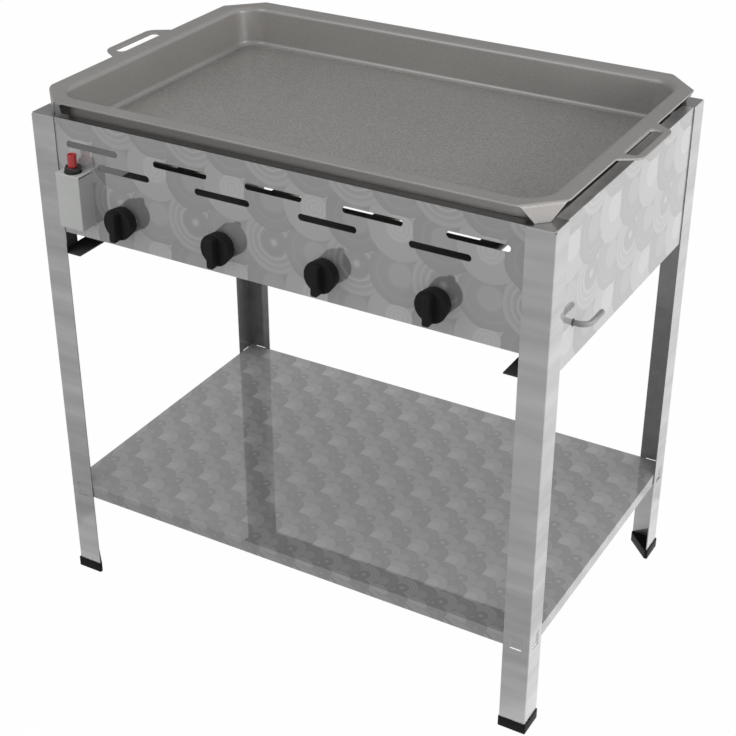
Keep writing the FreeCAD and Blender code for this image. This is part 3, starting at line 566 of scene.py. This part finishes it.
bpy.ops.mesh.region_to_loop()
round_edges(grip_edge_round, 4)
done(grip)
combine(knob, "UNION", grip)
done(knob)
knob_black = plastic("knob_black", (0.009, 0.009, 0.0091), (0.013, 0.013, 0.0131),
                     roughness=0.62, grain=1700, gloss=0.15)
knob.data.materials.append(knob_black)
knobs = [knob]
for i in (2, 3, 4):
    knobs.append(twin(knob, "dial_" + str(i), Matrix.Translation(((i - 1) * knob_pitch, 0, 0))))
for i, piece in enumerate(knobs):
    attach(piece, "knob_" + str(i + 1))
    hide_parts("knob_" + str(i + 1))

# Igniter cover
# A cover folded from grey painted sheet and screwed to the front from inside. Its top is cut free
# of the sides by a slit, and it is open behind and below, with a small notch at its right.
cover_low, cover_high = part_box("igniter_box")
slit_z, notch, cover_sheet, fold_round = 0.7324, 0.003, 0.001, 0.0012
cover = block("igniter_cover", cover_low, cover_high)
edit(cover)
choose(cover, "FACE", lambda f: f.normal.y > 0.9 or f.normal.z < -0.9)
bpy.ops.mesh.delete(type="FACE")
bpy.ops.mesh.select_all(action="SELECT")
bpy.ops.mesh.bisect(plane_co=(0, 0, slit_z), plane_no=(0, 0, 1))
choose(cover, "FACE", lambda f: abs(f.normal.x) > 0.9 and middle(f).z > slit_z)
bpy.ops.mesh.delete(type="FACE")
for at, way in (((0, cover_high.y - notch, 0), (0, 1, 0)), ((0, 0, cover_low.z + notch), (0, 0, 1))):
    choose(cover, "FACE", lambda f: f.normal.x > 0.9)
    bpy.ops.mesh.bisect(plane_co=at, plane_no=way)
choose(cover, "FACE", lambda f: f.normal.x > 0.9 and middle(f).y > cover_high.y - notch
       and middle(f).z < cover_low.z + notch)
bpy.ops.mesh.delete(type="FACE")
choose(cover, "EDGE", lambda e: len(e.link_faces) == 2 and e.calc_face_angle() > 1)
round_edges(fold_round, 4)
done(cover)
modify(cover, "SOLIDIFY", thickness=cover_sheet, offset=-1, use_even_offset=True)
done(cover)
cover_grey, shader, place = finish("cover_grey", Specular_IOR_Level=0.4)
orange_peel = place.noise(500, 2)
cloud = place.noise(25, 3)
feed(shader, cloud.tint((0.425, 0.435, 0.425), (0.485, 0.495, 0.485)), 0.38 + 0.16 * cloud,
     orange_peel.bump(0.00004, 0.4))
cover.data.materials.append(cover_grey)
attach(cover, "stand")
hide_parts("igniter_box")

# Igniter nut
# A black moulded hexagon nut with a washer face, which clamps the igniter's threaded neck in
# the top of the cover.
igniter_x, igniter_y, cover_top = -0.33, -0.2785, 0.735
half_flats, nut_height, nut_middle, top_round, side_round = 0.011, 0.0075, 0.00525, 0.0013, 0.0007
washer_radius, washer_height, washer_round = 0.013, 0.002, 0.0005
bore_radius, bore_length = 0.0092, 0.03
nut = rod("clamp_nut", 6, half_flats / math.cos(math.pi / 6), nut_height,
          (igniter_x, igniter_y, cover_top + nut_middle), (0, 0, math.pi / 6))
edit(nut)
choose(nut, "EDGE", lambda e: middle(e).z > cover_top + nut_middle + 0.4 * nut_height)
round_edges(top_round, 3)
choose(nut, "EDGE", lambda e: span(e, 2) > 0.004)
round_edges(side_round, 3)
done(nut)
washer = rod("washer", 64, washer_radius, washer_height,
             (igniter_x, igniter_y, cover_top + washer_height / 2))
edit(washer)
choose(washer, "EDGE", lambda e: span(e, 2) < 1e-5)
round_edges(washer_round, 3)
done(washer)
combine(nut, "UNION", washer)
bore = rod("bore", 48, bore_radius, bore_length, (igniter_x, igniter_y, cover_top))
combine(nut, "DIFFERENCE", bore)
done(nut)
nut_black = plastic("nut_black", (0.006, 0.006, 0.006), (0.01, 0.01, 0.01),
                    roughness=0.24, grain=1500, gloss=0.5)
nut.data.materials.append(nut_black)
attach(nut, "stand")
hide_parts("igniter_nut")
dress(nut_black, "igniter_body")
dress(spring_grey, "igniter_spring")

# Igniter button
# A red moulded plunger in the neck of the igniter, with a dished top for the thumb. It is
# pressed against the hammer's spring.
button_radius, button_low, button_high, button_round = 0.00675, 0.716, 0.762, 0.0009
dish_border = 0.0013
dish_steps = ((0.0006, 0.0005), (0.001, 0.0004), (0.0014, 0.0002))
button = rod("thumb_button", 64, button_radius, button_high - button_low,
             (igniter_x, igniter_y, (button_low + button_high) / 2))
edit(button)
choose(button, "FACE", lambda f: f.normal.z > 0.9)
bpy.ops.mesh.inset(thickness=dish_border)
for inset, drop in dish_steps:
    bpy.ops.mesh.inset(thickness=inset, depth=-drop)
choose(button, "EDGE", lambda e: all(abs(v.co.z - button_high) < 1e-6 and
       (v.co.xy - Vector((igniter_x, igniter_y))).length > button_radius - 1e-5 for v in e.verts))
round_edges(button_round, 4)
done(button)
button_red = plastic("button_red", (0.36, 0.018, 0.02), (0.45, 0.027, 0.028),
                     roughness=0.2, grain=1600, gloss=0.7)
button.data.materials.append(button_red)
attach(button, "button")
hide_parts("igniter_button")

# Spark lead and electrode
# A rubber-covered wire from the bottom of the igniter, through a rubber ring in the front sheet,
# to a ceramic electrode clamped beside the first burner.
lead_points = ((-0.33, -0.2785, 0.689), (-0.33, -0.2785, 0.6665), (-0.33, -0.258, 0.667),
               (-0.33, -0.224, 0.667), (-0.2722, -0.189, 0.688), (-0.2722, -0.157, 0.688))
lead_radius = 0.0015
line = bpy.data.curves.new("spark_lead", "CURVE")
line.dimensions = "3D"
line.bevel_depth = lead_radius
line.bevel_resolution = 6
line.use_fill_caps = True
spline = line.splines.new("NURBS")
spline.points.add(len(lead_points) - 1)
for point, spot in zip(spline.points, lead_points):
    point.co = (*spot, 1)
spline.order_u = 3
spline.use_endpoint_u = True
spline.resolution_u = 16
lead = bpy.data.objects.new("spark_lead", line)
bpy.context.scene.collection.objects.link(lead)
take(lead)
bpy.ops.object.convert(target="MESH")
lead = bpy.context.active_object
lead.name = "spark_lead"
done(lead)
lead_black, shader, place = finish("lead_black", Specular_IOR_Level=0.35)
cloud = place.noise(160, 3)
feed(shader, cloud.tint((0.016, 0.016, 0.016), (0.032, 0.032, 0.032)), 0.5 + 0.2 * cloud)
lead.data.materials.append(lead_black)
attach(lead, "stand")
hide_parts("ignition_lead")
dress(lead_black, "lead_grommet")
bisque, shader, place = finish("bisque", Specular_IOR_Level=0.45)
soot = place.noise(90, 4)
pores = place.noise(900, 2)
feed(shader, soot.tint((0.62, 0.6, 0.56), (0.84, 0.83, 0.79)), 0.5 + 0.2 * soot, pores.bump(0.00003, 0.4))
dress(bisque, "electrode_ceramic")

# Pan
# Pressed from one steel plate with a baked grey coating: a tub with rounded corners, a wide rim,
# a loop handle at each end, its slot lipped, and four corner tabs bent down to stand on the legs.
rim_z, rim_x, rim_y, plate, edge_round = 0.833, 0.407, 0.271, 0.003, 0.0007
tab_bend, tab_foot_z, tab_foot, tab_plane_cut = 0.005, 0.806, 0.0105, 0.046
corner_cut = tab_plane_cut + tab_bend * math.sqrt(2)
bpy.ops.object.select_all(action="DESELECT")
bpy.ops.mesh.primitive_plane_add(size=2, location=(0, 0, rim_z))
pan = added("griddle_pan")
edit(pan)
bpy.ops.transform.resize(value=(rim_x, rim_y, 1), center_override=(0, 0, rim_z))
bpy.ops.mesh.bevel(offset=corner_cut, offset_type="ABSOLUTE", segments=1, affect="VERTICES")
bpy.ops.mesh.select_all(action="SELECT")
bpy.ops.mesh.delete(type="ONLY_FACE")


def at_rim_end(part, side, reach, half):
    """Whether a part lies on the line x = reach at this side, less than half from the middle."""
    spot = middle(part)
    return abs(spot.x - side * reach) < 1e-5 and abs(spot.y) < half and abs(spot.z - rim_z) < 1e-6


def add_outline(x, half_x, half_y, corner, segments):
    """Add a rectangle with rounded corners, in the plane of the rim, to the pan being edited."""
    bpy.ops.mesh.primitive_plane_add(size=2, location=(x, 0, rim_z))
    bpy.ops.transform.resize(value=(half_x, half_y, 1), center_override=(x, 0, rim_z))
    bpy.ops.mesh.bevel(offset=corner, offset_type="ABSOLUTE", segments=segments, affect="VERTICES")


handle_out, handle_base, handle_top, handle_corner = 0.437, 0.074, 0.055, 0.01
third, near_middle = (rim_y - corner_cut) / 3, 0.01
for side in (1, -1):
    choose(pan, "EDGE", lambda e: at_rim_end(e, side, rim_x, near_middle))
    bpy.ops.mesh.subdivide(number_cuts=2)
    choose(pan, "VERT", lambda v: at_rim_end(v, side, rim_x, rim_y / 2))
    bpy.ops.transform.resize(value=(1, handle_base / third, 1), center_override=(side * rim_x, 0, rim_z))
    choose(pan, "EDGE", lambda e: at_rim_end(e, side, rim_x, near_middle))
    pull((side * (handle_out - rim_x), 0, 0))
    bpy.ops.transform.resize(value=(1, handle_top / handle_base, 1),
                             center_override=(side * handle_out, 0, rim_z))
    choose(pan, "VERT", lambda v: at_rim_end(v, side, handle_out, rim_y / 2))
    bpy.ops.mesh.bevel(offset=handle_corner, offset_type="ABSOLUTE", segments=8, affect="VERTICES")
    bpy.ops.mesh.select_all(action="SELECT")
    bpy.ops.mesh.delete(type="ONLY_FACE")
    choose(pan, "EDGE", lambda e: at_rim_end(e, side, rim_x, near_middle))
    bpy.ops.mesh.delete(type="EDGE")


def bent(radius, angle, count):
    """Steps out and down along a bend that starts level."""
    turns = [angle * k / count for k in range(count + 1)]
    return [(radius * (math.sin(b) - math.sin(a)), radius * (math.cos(a) - math.cos(b)))
            for a, b in zip(turns, turns[1:])]


slot_x, slot_half_x, slot_half_y, slot_corner, lip = 0.4168, 0.0081, 0.0495, 0.0062, 0.0036
for side in (1, -1):
    bpy.ops.mesh.select_all(action="DESELECT")
    add_outline(side * slot_x, slot_half_x + lip, slot_half_y + lip, slot_corner + lip, 10)
    choose(pan, "FACE", lambda f: (middle(f) - Vector((side * slot_x, 0, rim_z))).length < 0.001)
    for inset, drop in bent(lip, math.pi / 2, 5):
        bpy.ops.mesh.inset(thickness=inset, depth=-drop, use_even_offset=True)
    bpy.ops.mesh.delete(type="FACE")
tub_half_x, tub_half_y, tub_corner = 0.3875, 0.2515, 0.049
tub_depth, tub_draft, tub_bend = 0.063, 0.004, 0.009
lean = math.atan2(tub_depth, tub_draft)
bpy.ops.mesh.select_all(action="DESELECT")
add_outline(0, tub_half_x, tub_half_y, tub_corner, 16)
choose(pan, "FACE", lambda f: (middle(f) - Vector((0, 0, rim_z))).length < 0.001)
wall_length = (tub_depth - 2 * tub_bend * (1 - math.cos(lean))) / math.sin(lean)
profile = bent(tub_bend, lean, 8)
wall = [(wall_length * math.cos(lean) / 3, wall_length * math.sin(lean) / 3)] * 3
for inset, drop in profile + wall + profile[::-1]:
    bpy.ops.mesh.inset(thickness=inset, depth=-drop, use_even_offset=True)
choose(pan, "EDGE", lambda e: len(e.link_faces) < 2 and middle(e).z > rim_z - 1e-5)
bpy.ops.mesh.fill(use_beauty=True)
bpy.ops.mesh.select_all(action="SELECT")
bpy.ops.mesh.remove_doubles(threshold=1e-6)


def face_up(piece):
    """Make the faces point the same way, with the largest of them upwards."""
    bpy.ops.mesh.select_all(action="SELECT")
    bpy.ops.mesh.normals_make_consistent(inside=False)
    shape = bmesh.from_edit_mesh(piece.data)
    if max(shape.faces, key=lambda f: f.calc_area()).normal.z < 0:
        bpy.ops.mesh.flip_normals()


face_up(pan)
tab_steps = bent(tab_bend, math.pi / 2, 6) + [(0, rim_z - tab_bend - tab_foot_z)]
# Half of the tab's width at its root and after each step.
tab_widths = [0.0375, 0.0352, 0.0333, 0.0317, 0.0304, 0.0293, 0.0284, tab_foot]
for sx, sy in ((1, 1), (-1, 1), (-1, -1), (1, -1)):
    outwards = Vector((sx, sy, 0)).normalized()
    spot = Vector((sx * (rim_x - corner_cut / 2), sy * (rim_y - corner_cut / 2), rim_z))
    choose(pan, "EDGE", lambda e: (middle(e) - spot).length < 1e-4)
    for (out, down), wide, narrow in zip(tab_steps, tab_widths, tab_widths[1:]):
        step = out * outwards - Vector((0, 0, down))
        spot += step
        pull(step)
        bpy.ops.transform.resize(value=(narrow / wide, narrow / wide, 1), center_override=spot)
face_up(pan)
done(pan)
modify(pan, "SOLIDIFY", thickness=plate, offset=-1, use_even_offset=True)
modify(pan, "BEVEL", width=edge_round, segments=3, limit_method="ANGLE", angle_limit=math.radians(50))
done(pan, 30)
modify(pan, "WEIGHTED_NORMAL", keep_sharp=True)
pan_grey, shader, place = finish("pan_grey", Specular_IOR_Level=0.75)
speckle = place.noise(650, 3)
cloud = place.noise(7, 4)
floor_z = 0.7715
on_floor = place.part(2) < floor_z
grain = 0.5 + (1 + 3.2 * on_floor) * (speckle - 0.5) + 0.4 * (cloud - 0.5)
feed(shader, grain.tint((0.143, 0.136, 0.13), (0.284, 0.272, 0.26)), 0.28 + 0.1 * speckle,
     speckle.bump(0.00004, 0.5))
pan.data.materials.append(pan_grey)
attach(pan, "pan")
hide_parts("pan")

# Studio
# A plain pale floor and walls, three soft lamps, and the camera where it stood for the photograph.
# Steel sees the floor by its glow, which is painted light: white on the right and behind, grey at the front
# left, a little lighter on a patch under the stand, and darker in a band round the stand as a painted
# shadow.


def rays(tree):
    """Whether a ray comes from the camera, and whether from a reflection."""
    path = tree.nodes.new("ShaderNodeLightPath").outputs
    return Shade(path["Is Camera Ray"]), Shade(path["Is Glossy Ray"])


def blend(value, low, high, start, end, curve="SMOOTHSTEP"):
    """From start to end as the value goes from low to high."""
    return value.node("ShaderNodeMapRange", {"interpolation_type": curve},
                      {"Value": value, "From Min": low, "From Max": high, "To Min": start, "To Max": end})


floor_size, mat_half_x, mat_half_y, mat_edge, band = 30, 0.49, 0.4, 0.008, 0.4
front_grey, back_white, mat_gain, band_share, band_drop = 0.57, 1.08, 0.05, 0.58, 0.25
bpy.ops.object.select_all(action="DESELECT")
bpy.ops.mesh.primitive_plane_add(size=floor_size, location=(0, 0, 0))
floor = added("floor")
paper = bpy.data.materials.new("paper")
paper.use_nodes = True
tree = paper.node_tree
tree.nodes.clear()
place = Shade(tree.nodes.new("ShaderNodeTexCoord").outputs["Object"])
camera_ray, glossy_ray = rays(tree)
x, y = place.part(0), place.part(1)
# Painted light: the floor's glow for reflections, grey at the front left and white on the right and behind.
fade = blend(0.5 * x + 0.866 * y, -0.13, 0.05, front_grey, back_white)
beside = (x.math("ABSOLUTE") - mat_half_x).math("MAXIMUM", y.math("ABSOLUTE") - mat_half_y)
inside = blend(beside, -mat_edge, mat_edge, 1, 0, "LINEAR")
near = blend(beside, 0, band, 1, 0)
lighter = mat_gain * fade
# Painted shadow in a band round the stand, seen only in reflections.
painted_shadow = (band_share * fade).math("MAXIMUM", fade - band_drop) - fade
seen = camera_ray + glossy_ray * (fade + inside * lighter + (1 - inside) * near * painted_shadow)
glow = tree.nodes.new("ShaderNodeEmission")
tree.links.new(seen.socket, glow.inputs["Strength"])
matt = tree.nodes.new("ShaderNodeBsdfDiffuse")
matt.inputs["Color"].default_value = (0.7, 0.7, 0.7, 1)
mixed = tree.nodes.new("ShaderNodeMixShader")
share = 0.985 * camera_ray + glossy_ray
tree.links.new(share.socket, mixed.inputs[0])
tree.links.new(matt.outputs[0], mixed.inputs[1])
tree.links.new(glow.outputs[0], mixed.inputs[2])
tree.links.new(mixed.outputs[0], tree.nodes.new("ShaderNodeOutputMaterial").inputs[0])
floor.data.materials.append(paper)

room = bpy.data.worlds.new("room")
bpy.context.scene.world = room
room.use_nodes = True
sky = room.node_tree.nodes["Background"]
camera_ray, glossy_ray = rays(room.node_tree)
way = Shade(room.node_tree.nodes.new("ShaderNodeTexCoord").outputs["Generated"])
behind = blend(way.part(0), -0.2, 0.5, 0.39, 1.2)
before = blend(way.part(0), -0.3, 0.5, 0.6, 0.8)
walls = before + blend(way.part(1), -0.5, 0.3, 0, 1) * (behind - before)
ambient = 0.62
level = ambient + camera_ray * (1 - ambient) + glossy_ray * (walls - ambient)
room.node_tree.links.new(level.socket, sky.inputs["Strength"])
sky.inputs["Color"].default_value = (1, 1, 1, 1)

# Two lamps light only the pan, and the third all that isn't bare metal. Bare metal is left out of them,
# as it would be with flags on the stands, and shows only the floor and the walls.
pan_only = bpy.data.collections.new("pan_only")
pan_only.objects.link(pan)
lit = bpy.data.collections.new("lit")
for piece in (pan, cover, nut, button, lead, floor, *caps.values(), *knobs):
    lit.objects.link(piece)
for name in ("base_rail_left", "base_rail_right", "valve_heat_shield", "igniter_body", "lead_grommet",
             "electrode_ceramic"):
    lit.objects.link(nodes[name])


def lamp(name, place, aim, size, power, pieces):
    """A round soft lamp that lights only these pieces."""
    light = bpy.data.lights.new(name, "AREA")
    light.shape = "DISK"
    light.size = size
    light.energy = power
    holder = bpy.data.objects.new(name, light)
    bpy.context.scene.collection.objects.link(holder)
    holder.location = place
    holder.rotation_euler = (Vector(aim) - Vector(place)).to_track_quat("-Z", "Y").to_euler()
    holder.light_linking.receiver_collection = pieces


lamp("key", (2.1, -0.3, 1.3), aim=(0, 0, 0.8), size=1.0, power=27, pieces=pan_only)
lamp("corner", (1.0, -0.95, 0.78), aim=(0.38, -0.25, 0.8), size=0.4, power=7, pieces=pan_only)
lamp("front", (-0.9, -1.5, 2.2), aim=(0, 0, 0.7), size=1.2, power=18, pieces=lit)

lens, pitch, yaw = 76.94, 29.96, 29.87
view = bpy.data.cameras.new("photographer")
view.lens = lens
view.sensor_width = 36
view.clip_end = 100
camera = bpy.data.objects.new("photographer", view)
bpy.context.scene.collection.objects.link(camera)
camera.location = (1.0724, -1.8759, 1.6131)
camera.rotation_euler = (math.radians(90 - pitch), 0, math.radians(yaw))
bpy.context.scene.camera = camera
bpy.context.scene.view_settings.view_transform = "Standard"
